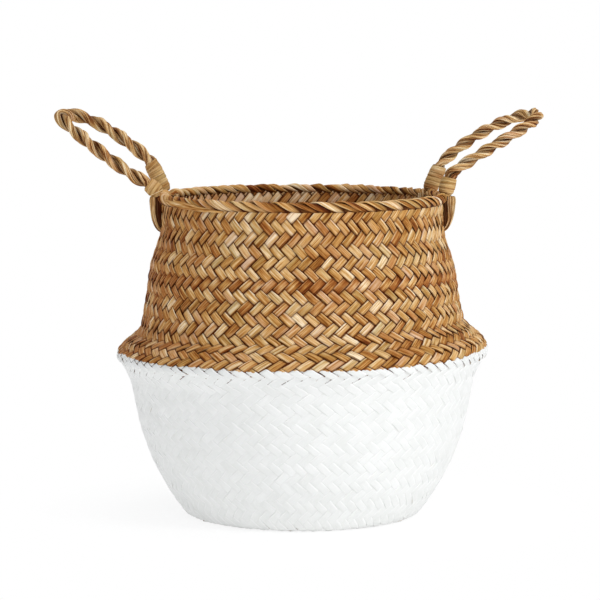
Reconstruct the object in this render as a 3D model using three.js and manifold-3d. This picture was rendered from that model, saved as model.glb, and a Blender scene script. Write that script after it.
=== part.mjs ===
import * as THREE from 'three';
import { mergeVertices } from 'three/addons/utils/BufferGeometryUtils.js';
import Module from 'manifold-3d';

// A folded belly basket woven from flat seagrass splints, with two twisted rope handles.
// Millimetres and degrees, +Z up, origin at the centre of the flat base. The handles stand
// at -X and +X.

// Woven body
const basketHeight = 278;
const baseRadius = 101;
const foldHeight = 139.5;
const foldRadius = 160;
const mouthRadius = 121;
const wallThickness = 3;

// Painted bowl below the fold: a full curve up to bowlRadius, then a lip that flares out
const bowlRadius = 147;
const bowlFullness = 2.4;
const lipRun = 13.6;

// Natural half above the fold: a sharp shoulder in to shoulderRadius, then a slow neck
const shoulderRadius = 138;
const shoulderRun = 30;
const neckRun = 88;

// Twill of flat splints on the outside of both halves. Splints that lean right and left cross
// in level rows, each over two and under two. They are drawn twice as wide as the real ones.
const splintsEachWay = 42;
const crossingRow = 9.7;
const splintCrest = 0.2;
const splintDip = 1;

// Plaited border, folded down over the wall's top edge like a cap
const borderDepth = 10;
const borderCrown = 6;
const borderOutside = 3.3;
const borderInside = 1.5;
const borderRounding = 2.6;
const borderHemChamfer = 1.2;

// Rope of two strands, twisted to the right
const strandThickness = 5.3;
const strandWidth = 7.6;
const strandGap = 0.4;
const ropeTurns = 6;
const straightRun = 3;
const loopLean = 60;

// Flat strip wound over the rope at each foot
const sleeveWall = 0.8;
const wrapPitch = 5.2;
const wrapStep = 0.4;

// Strand tails that hold each foot: down the outside, in through the wall, up the inside
const tailWidth = 7.5;
const tailThickness = 6;
const tailInnerThickness = 4;
const tailBendDepth = 20;
const slotBelowRim = 32;
const tailTopBelowFoot = 3.5;
const footAboveRim = 3;

// Left handle. The tip of the loop is measured from midway between the feet, and the two
// pulls of each leg shape its curve at the sleeve and at the tip.
const leftFootOutside = 6;
const leftTipReach = 85.2;
const leftTipRise = 61.2;
const leftTipShift = 2;
const leftFrontSleeve = 7;
const leftFrontPull = 13.7;
const leftFrontTipPull = 18;
const leftBackSleeve = 22;
const leftBackPull = 60;
const leftBackTipPull = 41;

// Right handle, measured the same way
const rightFootOutside = 3;
const rightTipReach = 88;
const rightTipRise = 62.6;
const rightTipShift = 2.6;
const rightFrontSleeve = 9.6;
const rightFrontPull = 16.8;
const rightFrontTipPull = 33;
const rightBackSleeve = 18.2;
const rightBackPull = 49.5;
const rightBackTipPull = 23.6;

// Clearances between neighbours
const seamGap = 0.3;
const boreGap = 0.3;
const swingGap = 0.4;

// The two handles were twisted by hand, so each leg has its own foot, sleeve and lean
const handleSizes = [
  {
    name: 'left',
    side: -1,
    footOutside: leftFootOutside,
    tip: { reach: leftTipReach, rise: leftTipRise, shift: leftTipShift, slope: 5.5 },
    front: {
      bearing: -6, sleeve: leftFrontSleeve, sleeveLean: 50,
      ropeLean: 75, pull: leftFrontPull, tipPull: leftFrontTipPull,
    },
    back: {
      bearing: 15.3, sleeve: leftBackSleeve, sleeveLean: 24.8,
      ropeLean: 49, pull: leftBackPull, tipPull: leftBackTipPull,
    },
  },
  {
    name: 'right',
    side: 1,
    footOutside: rightFootOutside,
    tip: { reach: rightTipReach, rise: rightTipRise, shift: rightTipShift, slope: 6.5 },
    front: {
      bearing: -1.7, sleeve: rightFrontSleeve, sleeveLean: 18.3,
      ropeLean: 41.6, pull: rightFrontPull, tipPull: rightFrontTipPull,
    },
    back: {
      bearing: 23.5, sleeve: rightBackSleeve, sleeveLean: 23.4,
      ropeLean: 47, pull: rightBackPull, tipPull: rightBackTipPull,
    },
  },
];

// Fineness of the faces
const borderSides = 60;
const outlineSteps = 80;
const innerBowlSteps = 5;
const innerLipSteps = 3;
const innerShoulderSteps = 4;
const innerNeckSteps = 3;
const crownSteps = 3;
const bendSteps = 10;
const rowsPerTurn = 4;
const strandSides = 8;
const sleeveSides = 18;
const tailSides = 10;
const saddleSides = 32;
const strandStep = 4.5;
const weldTolerance = 1e-4;

const splintMaterial = { color: 0xb98c52, roughness: 0.72 };
const paintMaterial = { color: 0xf1f1ee, roughness: 0.62 };
const borderMaterial = { color: 0xa87a44, roughness: 0.75 };
const ropeMaterial = { color: 0xb58d55, roughness: 0.78 };
const stripMaterial = { color: 0xc2a06b, roughness: 0.7 };

const wasm = await Module();
wasm.setup();

const degrees = THREE.MathUtils.degToRad;
const strandOffset = (strandThickness + strandGap) / 2;
const ropeRadius = strandOffset + strandThickness / 2;
const sleeveBore = ropeRadius + boreGap;
const sleeveRadius = sleeveBore + sleeveWall + wrapStep;
const saddleRadius = sleeveRadius + swingGap;
const footHeight = basketHeight + footAboveRim;
const wallTop = basketHeight - borderCrown - seamGap;

// Solids

function solidOf(geometry) {
  const bare = geometry.clone();
  bare.deleteAttribute('normal');
  bare.deleteAttribute('uv');
  const merged = mergeVertices(bare, weldTolerance);
  return new wasm.Manifold(new wasm.Mesh({
    numProp: 3,
    vertProperties: Float32Array.from(merged.attributes.position.array),
    triVerts: Uint32Array.from(merged.index.array),
  }));
}

function geometryOf(solid) {
  const mesh = solid.getMesh();
  const geometry = new THREE.BufferGeometry();
  geometry.setAttribute('position', new THREE.BufferAttribute(mesh.vertProperties, 3));
  geometry.setIndex(new THREE.BufferAttribute(mesh.triVerts, 1));
  geometry.computeVertexNormals();
  return geometry;
}

function cutFrom(geometry, cutters) {
  let solid = solidOf(geometry);
  for (const cutter of cutters) {
    solid = solid.subtract(solidOf(cutter));
  }
  return geometryOf(solid);
}

function revolved(outline) {
  const points = outline.map(([radius, height]) => new THREE.Vector2(radius, height));
  return new THREE.LatheGeometry(points, borderSides).rotateX(Math.PI / 2);
}

// Skin over a row of rings. An open row is capped at both ends; a closed row joins its last
// ring to its first, which leaves a hole through the middle. Each four-cornered field is
// split along the diagonal that leans right or left.
function lofted(rings, closed = false, leansRight = () => true) {
  const sides = rings[0].length;
  const corners = rings.flat();
  const faces = [];
  const spans = closed ? rings.length : rings.length - 1;
  for (let row = 0; row < spans; row += 1) {
    const near = row * sides;
    const far = ((row + 1) % rings.length) * sides;
    for (let side = 0; side < sides; side += 1) {
      const next = (side + 1) % sides;
      if (leansRight(row, side)) {
        faces.push(near + side, near + next, far + next);
        faces.push(near + side, far + next, far + side);
      } else {
        faces.push(near + side, near + next, far + side);
        faces.push(near + next, far + next, far + side);
      }
    }
  }
  if (!closed) {
    const last = (rings.length - 1) * sides;
    for (let side = 1; side < sides - 1; side += 1) {
      faces.push(0, side + 1, side);
      faces.push(last, last + side, last + side + 1);
    }
  }
  const geometry = new THREE.BufferGeometry().setFromPoints(corners);
  geometry.setIndex(faces);
  geometry.computeVertexNormals();
  return geometry;
}

// Oval ring round a centre. Across and through are unit vectors whose cross product points
// the way that the row of rings runs.
function ovalRing(centre, across, halfAcross, through, halfThrough, sides) {
  const ring = [];
  for (let side = 0; side < sides; side += 1) {
    const angle = (2 * Math.PI * side) / sides;
    const corner = centre.clone();
    corner.addScaledVector(across, halfAcross * Math.cos(angle));
    corner.addScaledVector(through, halfThrough * Math.sin(angle));
    ring.push(corner);
  }
  return ring;
}

// Level ring round the axis z, whose radius may differ from corner to corner
function levelRing(height, sides, radiusAt) {
  return Array.from({ length: sides }, (_, side) => {
    const angle = (2 * Math.PI * side) / sides;
    const radius = radiusAt(angle, side);
    return new THREE.Vector3(radius * Math.cos(angle), radius * Math.sin(angle), height);
  });
}

// Woven body

function fadeOut(distance, run) {
  const share = THREE.MathUtils.clamp(distance / run, 0, 1);
  return (1 + Math.cos(Math.PI * share)) / 2;
}

function bowlOutline(height) {
  const swell = 1 - (1 - height / foldHeight) ** bowlFullness;
  const flare = Math.exp((height - foldHeight) / lipRun);
  return baseRadius + (bowlRadius - baseRadius) * swell + (foldRadius - bowlRadius) * flare;
}

function neckOutline(height) {
  const shoulder = fadeOut(height - foldHeight, shoulderRun);
  const neck = fadeOut(height - foldHeight - shoulderRun, neckRun);
  return mouthRadius + (shoulderRadius - mouthRadius) * neck
    + (foldRadius - shoulderRadius) * shoulder;
}

// Radius of a wall's inner face, a wall's thickness in from the outline along its normal
function innerOf(outline, height) {
  const probe = 0.5;
  const slope = (outline(height) - outline(height - probe)) / probe;
  return outline(height) - wallThickness * Math.hypot(1, slope);
}

function heights(from, to, steps) {
  return Array.from({ length: steps + 1 }, (_, step) => from + ((to - from) * step) / steps);
}

// Rings up the outside of a wall, one for each row of crossings. Every other corner is a
// crossing, which stands proud, and those between are sunk.
function wovenRings(outline, from, to) {
  const curve = new THREE.SplineCurve(
    heights(from, to, outlineSteps).map((height) => new THREE.Vector2(outline(height), height)),
  );
  const rows = Math.round(curve.getLength() / crossingRow);
  const plainFrom = basketHeight - borderDepth - crossingRow;
  return curve.getSpacedPoints(rows).map(({ x: radius, y: height }, row) => {
    const plain = row === 0 || row === rows || height > plainFrom;
    return levelRing(height, 2 * splintsEachWay, (_, side) => {
      const relief = (side + row) % 2 === 0 ? splintCrest : -splintDip;
      return plain ? radius : radius + relief;
    });
  });
}

function plainRings(outline, levels) {
  return levels.map((height) => {
    const radius = innerOf(outline, height);
    return levelRing(height, 2 * splintsEachWay, () => radius);
  });
}

// Where two rows of crossings belong to one row of splints, the fields are split along the
// splints, which lean right and left by turns, and elsewhere through the sunk corners.
function twillLean(row, side) {
  const splintRow = Math.floor(row / 2);
  return row % 2 === 0 ? splintRow % 2 === 0 : (side + row) % 2 !== 0;
}

// The flat base and the floor over it each have a ring half way in
function lowerWall() {
  const lipStart = foldHeight - 2 * lipRun;
  const halfWay = (height) => levelRing(height, 2 * splintsEachWay, () => baseRadius / 2);
  const outside = wovenRings(bowlOutline, 0, foldHeight);
  const inside = plainRings(bowlOutline, [
    ...heights(wallThickness, lipStart, innerBowlSteps),
    ...heights(lipStart, foldHeight, innerLipSteps).slice(1),
  ].reverse());
  const rings = [halfWay(0), ...outside, ...inside, halfWay(wallThickness)];
  return lofted(rings, false, (row, side) => twillLean(row - 1, side));
}

function upperWall(slots) {
  const seam = foldHeight + seamGap;
  const shoulderEnd = foldHeight + shoulderRun;
  const outside = wovenRings(neckOutline, seam, wallTop);
  const inside = plainRings(neckOutline, [
    ...heights(seam, shoulderEnd, innerShoulderSteps),
    ...heights(shoulderEnd, shoulderEnd + neckRun, innerNeckSteps).slice(1),
    wallTop,
  ].reverse());
  return cutFrom(lofted([...outside, ...inside], true, twillLean), slots);
}

const borderOuter = mouthRadius + seamGap + borderOutside;
const borderInner = mouthRadius - wallThickness - seamGap - borderInside;

// The border's section is a cap: two legs either side of the wall, under a rounded crown
function rimBorder(saddles) {
  const foot = basketHeight - borderDepth;
  const round = borderRounding;
  const turn = (centreRadius, from, to) => heights(from, to, crownSteps).map((angle) => [
    centreRadius + round * Math.cos(degrees(angle)),
    basketHeight - round + round * Math.sin(degrees(angle)),
  ]);
  const grooveOuter = mouthRadius + seamGap;
  const grooveInner = mouthRadius - wallThickness - seamGap;
  const outline = [
    [grooveOuter, foot],
    [borderOuter - borderHemChamfer, foot],
    [borderOuter, foot + borderHemChamfer],
    ...turn(borderOuter - round, 0, 90),
    ...turn(borderInner + round, 90, 180),
    [borderInner, foot],
    [grooveInner, foot],
    [grooveInner, wallTop + seamGap],
    [grooveOuter, wallTop + seamGap],
  ];
  return cutFrom(revolved([...outline, outline[0]]), saddles);
}

// Feet of the handles

function bearingAngle(side, bearing) {
  return degrees(side > 0 ? bearing : 180 - bearing);
}

function footPoint(sizes, end) {
  const angle = bearingAngle(sizes.side, sizes[end].bearing);
  const radius = mouthRadius + sizes.footOutside;
  return new THREE.Vector3(radius * Math.cos(angle), radius * Math.sin(angle), footHeight);
}

// Strand tails in the plane x-z, x running out from the basket's axis: a long U whose bend
// passes through the wall and whose arms stand outside and inside the border. The outer arm
// is thicker, as both strands lie behind each other there.
function tailLoop(margin) {
  const outerArm = borderOuter + swingGap + tailThickness / 2;
  const innerArm = borderInner - swingGap - tailInnerThickness / 2;
  const halfSpread = (outerArm - innerArm) / 2;
  const bendTop = basketHeight - slotBelowRim + tailBendDepth;
  const armTop = footHeight - tailTopBelowFoot;
  const sideways = new THREE.Vector3(0, 1, 0);
  const ring = (radius, height, outward, thickness) => ovalRing(
    new THREE.Vector3(radius, 0, height),
    outward, thickness / 2 + margin, sideways, tailWidth / 2 + margin, tailSides,
  );
  const rings = [ring(innerArm, armTop, new THREE.Vector3(-1, 0, 0), tailInnerThickness)];
  for (let step = 0; step <= bendSteps; step += 1) {
    const angle = Math.PI * (1 + step / bendSteps);
    const radius = (innerArm + outerArm) / 2 + halfSpread * Math.cos(angle);
    const height = bendTop + tailBendDepth * Math.sin(angle);
    const outward = new THREE.Vector3(
      tailBendDepth * Math.cos(angle), 0, halfSpread * Math.sin(angle),
    ).normalize();
    const thickening = Math.max(0, (2 * step) / bendSteps - 1);
    const thickness = tailInnerThickness + (tailThickness - tailInnerThickness) * thickening;
    rings.push(ring(radius, height, outward, thickness));
  }
  rings.push(ring(outerArm, armTop, new THREE.Vector3(1, 0, 0), tailThickness));
  return lofted(rings);
}

// Hollow in which a foot turns: a round channel that runs out over the rim. The angle is
// that of the channel in the frame of the piece that it cuts.
function saddle(foot, channelAngle) {
  const length = 2 * (borderOuter - borderInner) + 4 * tailThickness;
  return new THREE.CylinderGeometry(saddleRadius, saddleRadius, length, saddleSides)
    .rotateZ(Math.PI / 2)
    .rotateZ(channelAngle)
    .translate(foot.x, foot.y, foot.z);
}

// Handles. Each one is built in a frame of its own: x outwards, y along the line through its
// two feet, z up, with the origin midway between the feet.

function handleFrame(sizes) {
  const front = footPoint(sizes, 'front');
  const back = footPoint(sizes, 'back');
  const chord = back.clone().sub(front);
  return {
    centre: front.clone().add(back).multiplyScalar(0.5),
    angle: Math.atan2(-sizes.side * chord.x, sizes.side * chord.y),
    halfSpan: chord.length() / 2,
  };
}

function leaning(lean) {
  return new THREE.Vector3(Math.sin(degrees(lean)), 0, Math.cos(degrees(lean)));
}

// Each leg runs straight through its sleeve and a little beyond, then in one curve to the
// tip of the loop
function ropeRoute(sizes, halfSpan) {
  const { reach, rise, shift, slope } = sizes.tip;
  const tip = new THREE.Vector3(reach, sizes.side * shift, rise);
  const tipRun = new THREE.Vector3(
    0,
    sizes.side * Math.cos(degrees(slope)),
    Math.sin(degrees(slope)),
  );
  const leg = (legSizes, end) => {
    const foot = new THREE.Vector3(0, end * sizes.side * halfSpan, 0);
    const lean = leaning(legSizes.sleeveLean);
    const start = foot.clone().addScaledVector(lean, -Math.sqrt(
      sleeveRadius ** 2 - sleeveBore ** 2,
    ));
    const top = foot.clone().addScaledVector(lean, legSizes.sleeve + straightRun);
    const pull = top.clone().addScaledVector(leaning(legSizes.ropeLean), legSizes.pull);
    return { start, top, pull, tipPull: tip.clone().addScaledVector(tipRun, end * legSizes.tipPull) };
  };
  const front = leg(sizes.front, -1);
  const back = leg(sizes.back, 1);
  const route = new THREE.CurvePath();
  route.add(new THREE.LineCurve3(front.start, front.top));
  route.add(new THREE.CubicBezierCurve3(front.top, front.pull, front.tipPull, tip));
  route.add(new THREE.CubicBezierCurve3(tip, back.tipPull, back.pull, back.top));
  route.add(new THREE.LineCurve3(back.top, back.start));
  return route;
}

// Centre of one strand at each station: it circles the rope's centre line clockwise as the
// rope runs away from the eye. The other strand is half a turn behind.
function strandStations(route, phase) {
  const steps = Math.round(route.getLength() / strandStep);
  const centres = route.getSpacedPoints(steps);
  const loopNormal = new THREE.Vector3(
    -Math.cos(degrees(loopLean)), 0, Math.sin(degrees(loopLean)),
  );
  return centres.map((centre, step) => {
    const before = centres[Math.max(step - 1, 0)];
    const after = centres[Math.min(step + 1, steps)];
    const run = after.clone().sub(before).normalize();
    const normal = loopNormal.clone().addScaledVector(run, -loopNormal.dot(run)).normalize();
    const binormal = run.clone().cross(normal);
    const angle = phase + (2 * Math.PI * ropeTurns * step) / steps;
    const outward = normal.multiplyScalar(Math.cos(angle));
    outward.addScaledVector(binormal, Math.sin(angle));
    return { centre: centre.clone().addScaledVector(outward, strandOffset), outward };
  });
}

function strand(route, phase) {
  const stations = strandStations(route, phase);
  const last = stations.length - 1;
  const rings = stations.map(({ centre, outward }, step) => {
    const before = stations[Math.max(step - 1, 0)].centre;
    const after = stations[Math.min(step + 1, last)].centre;
    const run = after.clone().sub(before);
    const across = run.clone().cross(outward).normalize();
    return ovalRing(centre, outward, strandThickness / 2, across, strandWidth / 2, strandSides);
  });
  return lofted(rings);
}

// Sleeve along z from its foot at the origin: a flat strip wound round the rope, each turn
// lapping the last, with a foot rounded to the ball that turns in the saddle
function sleeve(length) {
  const ring = (height, radiusAt) => levelRing(height, sleeveSides, radiusAt);
  const ballHeight = (radius) => -Math.sqrt(sleeveRadius ** 2 - radius ** 2);
  const wrapped = (height) => (angle) => {
    const turns = height / wrapPitch - angle / (2 * Math.PI);
    return sleeveRadius - wrapStep * (turns - Math.floor(turns));
  };
  const rows = Math.round((length * rowsPerTurn) / wrapPitch);
  const rings = [
    ring(ballHeight(sleeveBore), () => sleeveBore),
    ring(ballHeight(sleeveRadius - wrapStep), () => sleeveRadius - wrapStep),
    ...heights(0, length, rows).map((height) => ring(height, wrapped(height))),
    ring(length, () => sleeveBore),
  ];
  return lofted(rings, true);
}

// Assembly

function part(name, geometry, material) {
  const mesh = new THREE.Mesh(geometry, new THREE.MeshStandardMaterial(material));
  mesh.name = name;
  return mesh;
}

const feet = handleSizes.flatMap((sizes) => ['front', 'back'].map((end) => ({
  name: `${sizes.name}_${end}`,
  point: footPoint(sizes, end),
  radius: mouthRadius + sizes.footOutside,
  angle: bearingAngle(sizes.side, sizes[end].bearing),
  channelAngle: handleFrame(sizes).angle,
})));

const body = new THREE.Group();
const slots = feet.map((foot) => tailLoop(seamGap).rotateZ(foot.angle));
const saddles = feet.map((foot) => saddle(foot.point, foot.channelAngle));
body.add(part('lower_wall', lowerWall(), paintMaterial));
body.add(part('upper_wall', upperWall(slots), splintMaterial));
body.add(part('rim_border', rimBorder(saddles), borderMaterial));
for (const foot of feet) {
  const footInPlane = new THREE.Vector3(foot.radius, 0, footHeight);
  const hollow = saddle(footInPlane, foot.channelAngle - foot.angle);
  const tails = part(`${foot.name}_tails`, cutFrom(tailLoop(0), [hollow]), ropeMaterial);
  tails.rotation.z = foot.angle;
  body.add(tails);
}

function handle(sizes) {
  const frame = handleFrame(sizes);
  const group = new THREE.Group();
  group.position.copy(frame.centre);
  group.rotation.z = frame.angle;
  const route = ropeRoute(sizes, frame.halfSpan);
  group.add(part(`${sizes.name}_strand_a`, strand(route, 0), ropeMaterial));
  group.add(part(`${sizes.name}_strand_b`, strand(route, Math.PI), ropeMaterial));
  for (const [end, place] of [['front', -1], ['back', 1]]) {
    const wrap = part(`${sizes.name}_${end}_sleeve`, sleeve(sizes[end].sleeve), stripMaterial);
    wrap.position.y = place * sizes.side * frame.halfSpan;
    wrap.rotation.y = degrees(sizes[end].sleeveLean);
    group.add(wrap);
  }
  return group;
}

const basket = new THREE.Group();
basket.add(body);
for (const sizes of handleSizes) {
  basket.add(handle(sizes));
}

export default basket;
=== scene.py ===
import math

import bpy
import numpy as np
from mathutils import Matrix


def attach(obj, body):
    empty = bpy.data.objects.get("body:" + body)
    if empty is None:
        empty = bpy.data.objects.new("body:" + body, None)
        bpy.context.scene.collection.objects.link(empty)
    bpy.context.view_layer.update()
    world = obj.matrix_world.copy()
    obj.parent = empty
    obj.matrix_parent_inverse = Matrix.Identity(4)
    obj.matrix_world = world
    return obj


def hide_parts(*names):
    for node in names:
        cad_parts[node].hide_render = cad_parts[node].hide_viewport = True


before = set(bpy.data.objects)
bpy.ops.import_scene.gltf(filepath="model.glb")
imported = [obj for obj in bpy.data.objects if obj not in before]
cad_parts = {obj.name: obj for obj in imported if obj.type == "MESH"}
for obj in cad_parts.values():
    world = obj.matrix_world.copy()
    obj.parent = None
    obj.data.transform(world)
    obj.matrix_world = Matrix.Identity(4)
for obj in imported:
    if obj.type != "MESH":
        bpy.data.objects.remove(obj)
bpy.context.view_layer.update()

# Sizes are in millimetres and degrees. Meshes are made in metres.
MM = 0.001

# Woven body, as in the part's source
BASE_RADIUS = 101
FOLD_HEIGHT = 139.5
FOLD_RADIUS = 160
MOUTH_RADIUS = 121
RIM_HEIGHT = 278
BOWL_RADIUS = 147
BOWL_FULLNESS = 2.4
LIP_RUN = 13.6
SHOULDER_RADIUS = 138
SHOULDER_FOOT = 30
NECK_RUN = 88
WALL_THICKNESS = 3

# Where the photographed weave stands out from the source's smoother outline: a fuller
# shoulder, and swells by rise, middle height and reach. The fold's swell gives back what
# rounding it off takes from its radius.
SHOULDER_RUN = 31
SHOULDER_FULLNESS = 1.35
NECK_SWELLS = ((2.4, 221, 14), (-1.5, 188, 8))
LIP_SWELL = (1.3, 131, 7)
FOLD_SWELL = (0.5, FOLD_HEIGHT, 7.75)

# How uneven the hand-made wall stands: the fold's tilt up to the right and the left
# shoulder's sag, in the same terms, and the rim's rise to the back
FOLD_TILT = (2.0, FOLD_HEIGHT, 45)
SHOULDER_SAG = (3.5, 162.5, 18)
RIM_TILT = 1.2

# Handles, as in the part's source, except that the right rope is slimmer and has a finer
# lay, that one strip ends in a flap, and that the saddles leave room for the lobes
STRAND_THICKNESS = 5.3
STRAND_WIDTH = 7.6
STRAND_OFFSET = 2.85
STRAIGHT_RUN = 3
LOOP_LEAN = 60
SLEEVE_BORE = 5.8
SLEEVE_RADIUS = 7
SADDLE_RADIUS = 8.6
FOOT_HEIGHT = 281
HANDLES = {
    "left": {
        "side": -1, "foot_radius": 127, "turns": 6, "stout": 1.0,
        "tip_reach": 85.2, "tip_rise": 61.2, "tip_shift": 2, "tip_slope": 5.5,
        "front": {"bearing": -6, "sleeve": 7, "sleeve_lean": 50,
                  "rope_lean": 75, "rope_pull": 13.7, "tip_pull": 18},
        "back": {"bearing": 15.3, "sleeve": 22, "sleeve_lean": 24.8,
                 "rope_lean": 49, "rope_pull": 60, "tip_pull": 41, "flap": 2.4},
    },
    "right": {
        "side": 1, "foot_radius": 124, "turns": 7, "stout": 0.91,
        "tip_reach": 88, "tip_rise": 62.6, "tip_shift": 2.6, "tip_slope": 6.5,
        "front": {"bearing": -1.7, "sleeve": 9.6, "sleeve_lean": 18.3,
                  "rope_lean": 41.6, "rope_pull": 16.8, "tip_pull": 33},
        "back": {"bearing": 23.5, "sleeve": 18.2, "sleeve_lean": 23.4,
                 "rope_lean": 47, "rope_pull": 49.5, "tip_pull": 23.6},
    },
}

# Tails: radii of the U's arms inside and outside the wall, height of its lowest point,
# height of its bend, and the arms' tops
TAIL_INNER = 113.8
TAIL_OUTER = 128
TAIL_BOTTOM = 246
TAIL_BEND = 20
TAIL_TOP = 274.6

# Strip wound round each foot: width, thickness, climb in a turn, height where it begins
# against the foot's centre, and how far its lower edge stands proud of its upper one
WRAP_WIDTH = 6
WRAP_THICKNESS = 0.4
WRAP_PITCH = 3.8
WRAP_BOTTOM = -5.6
WRAP_LAP = 0.72

# Weave: splints of one width, as many leaning right as left, in two-over two-under twill.
# Rows are counted on the wall above its foot, and the mat of the base ends inside that.
SPLINTS = 84
SPLINT_WIDTH = 6.75
WALL_FOOT = 4
WEAVE_TOP = 272
MAT_INSET = 4

# Paint: height of its edge, and how much the edge climbs at both sides of the basket
PAINT_HEIGHT = 142
PAINT_SIDE_RISE = 4.2

# A row of redder splint backs, in the terms of the swells
RED_BAND = (1.0, 207, 4.24)

# Section of a lobe of the border, from inside the wall up over the crown and down outside
RIM_LINE = np.array([
    (119.4, 270.2), (118.2, 271.1), (117.4, 272.5), (117.2, 274.1), (118.0, 275.4), (119.3, 276.1),
    (120.6, 276.3), (121.8, 275.8), (122.6, 274.6), (122.9, 273.1), (122.8, 271.7), (122.4, 270.5),
    (121.5, 269.5), (120.3, 268.8),
])
LOBES = 80

# Padding under the lobes: radius and height of its middle, half width and half height
CORE_MIDDLE = (120.3, 271.8)
CORE_REACH = (1.9, 3.4)

# Stalks on the rim: bearings where each begins and ends, and its height where it begins;
# then their breadth, how far they fall on their way, and how deep their ends dive
RIM_STALKS = np.array([(199, 232, 274.0), (203, 238, 271.6), (208, 226, 275.2)])
RIM_STALK_BREADTH = 2.9
RIM_STALK_FALL = 5.0
RIM_STALK_DIVE = 2.6


# Camera

def add_camera():
    """Long lens a little above the handles, looking down 5.6 degrees."""
    look_down = 0.0981
    camera = bpy.data.objects.new("camera", bpy.data.cameras.new("camera"))
    camera.data.lens = 149.64
    camera.data.sensor_width = 36
    camera.location = (-0.002, -2.146, 0.3957)
    camera.rotation_euler = (math.pi / 2 - look_down, 0, 0)
    bpy.context.scene.collection.objects.link(camera)
    bpy.context.scene.camera = camera


add_camera()


# Shader nodes

class Value:
    """A node socket that takes part in arithmetic: each operator adds a Math node."""

    def __init__(self, graph, socket):
        self.graph = graph
        self.socket = socket

    def __add__(self, other):
        return self.graph.maths("ADD", self, other)

    def __sub__(self, other):
        return self.graph.maths("SUBTRACT", self, other)

    def __rsub__(self, other):
        return self.graph.maths("SUBTRACT", other, self)

    def __mul__(self, other):
        return self.graph.maths("MULTIPLY", self, other)

    __radd__ = __add__
    __rmul__ = __mul__


class Graph:
    """The node tree of one material."""

    def __init__(self, tree):
        self.tree = tree
        self.tree.nodes.clear()

    def node(self, kind, settings=None, sockets=None, output=0):
        """Adds a node: its settings first, then the values or links of its sockets."""
        made = self.tree.nodes.new("ShaderNode" + kind)
        for name, value in (settings or {}).items():
            if name == "stops":
                ramp = made.color_ramp
                while len(ramp.elements) < len(value):
                    ramp.elements.new(1)
                for element, (place, colour) in zip(ramp.elements, value):
                    element.position = place
                    element.color = colour
            else:
                setattr(made, name, value)
        for name, value in (sockets or {}).items():
            if isinstance(value, Value):
                self.tree.links.new(value.socket, made.inputs[name])
            else:
                made.inputs[name].default_value = value
        return Value(self, made.outputs[output]) if made.outputs else None

    def maths(self, operation, first, second):
        """One Math node on two values or numbers."""
        return self.node("Math", {"operation": operation}, {0: first, 1: second})

    def blend(self, share, first, second, mode="MIX"):
        """Colour mixed from two others by a share."""
        settings = {"data_type": "RGBA", "blend_type": mode}
        return self.node("Mix", settings, {0: share, 6: first, 7: second}, output=2)

    def fact(self, name, output="Fac"):
        """A value that the mesh keeps at each of its points."""
        return self.node("Attribute", {"attribute_name": name}, output=output)

    def noise(self, place, scale, detail, roughness):
        """Smooth random value between about 0.2 and 0.8."""
        sockets = {"Vector": place, "Scale": scale, "Detail": detail, "Roughness": roughness}
        return self.node("TexNoise", None, sockets)

    def ramp(self, value, stops):
        """Colour looked up on a row of stops."""
        return self.node("ValToRGB", {"stops": stops}, {"Fac": value})


def tint(red, green, blue):
    """Display colour from 0 to 255 as linear light."""
    def linear(level):
        share = level / 255
        return share / 12.92 if share <= 0.04045 else ((share + 0.055) / 1.055) ** 2.4
    return (linear(red), linear(green), linear(blue), 1)


def grey(level):
    """Grey of a linear level."""
    return (level, level, level, 1)


# Depth in metres of the finest relief, drawn by the materials
BUMP_DEPTH = 0.0006


def finish_material(name, build, gloss=0.08):
    """Material whose Base Color, Roughness and bump height come from a build function."""
    material = bpy.data.materials.new(name)
    material.use_nodes = True
    graph = Graph(material.node_tree)
    colour, roughness, height = build(graph)
    bump = graph.node("Bump", None, {"Strength": 1.0, "Distance": BUMP_DEPTH, "Height": height})
    surface = graph.node("BsdfPrincipled", None, {
        "Base Color": colour, "Roughness": roughness, "Normal": bump,
        "Specular IOR Level": gloss,
    })
    graph.node("OutputMaterial", None, {"Surface": surface})
    return material


def dry_leaf(graph, stops, contrast, painted_shade_colour):
    """Colour and fibre height of dry seagrass: tone of each float, with streaks, fine dark
    splits and pale ribs that run along the splint, hues that drift with them, and a dark
    colour of painted shade where the splint dives under its neighbours or shade falls on it."""
    grain = graph.fact("grain", "Vector")
    tone = graph.fact("tone")
    hue = graph.fact("hue")
    tuck = graph.fact("tuck")

    def stretched(shares, detail, roughness):
        """Noise stretched along the splint."""
        place = graph.node("VectorMath", {"operation": "MULTIPLY"}, {0: grain, 1: shares})
        return graph.noise(place, 1.0, detail, roughness)

    streaks = stretched((0.55, 0.035, 1.0), 3.0, 0.6)
    fibres = stretched((1.9, 0.05, 1.0), 3.0, 0.6)
    blotches = stretched((0.16, 0.07, 1.7), 2.0, 0.5)
    drift = stretched((0.42, 0.03, 2.3), 2.0, 0.5)
    marks = (streaks - 0.5) * 1.3 + (fibres - 0.5) * 1.0 + (blotches - 0.5) * 0.4
    level = tone + marks * contrast
    colour = graph.ramp(level, stops)
    shade = hue * 0.45 + drift * 0.95 - 0.2
    red = graph.ramp(shade, [(0.52, grey(0)), (0.8, grey(0.5))])
    olive = graph.ramp(shade, [(0.2, grey(0.6)), (0.44, grey(0))])
    colour = graph.blend(red, colour, tint(192, 124, 86), "MULTIPLY")
    colour = graph.blend(olive, colour, tint(186, 176, 122), "MULTIPLY")
    split = graph.ramp(fibres, [(0.3, grey(0.7)), (0.38, grey(0))])
    colour = graph.blend(split, colour, tint(92, 42, 8))
    # Painted shade: the dark colour laid on where the mesh's painted-shade share is high.
    colour = graph.blend(tuck, colour, tint(*painted_shade_colour))
    return colour, fibres * 0.6 + streaks * 0.4


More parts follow.
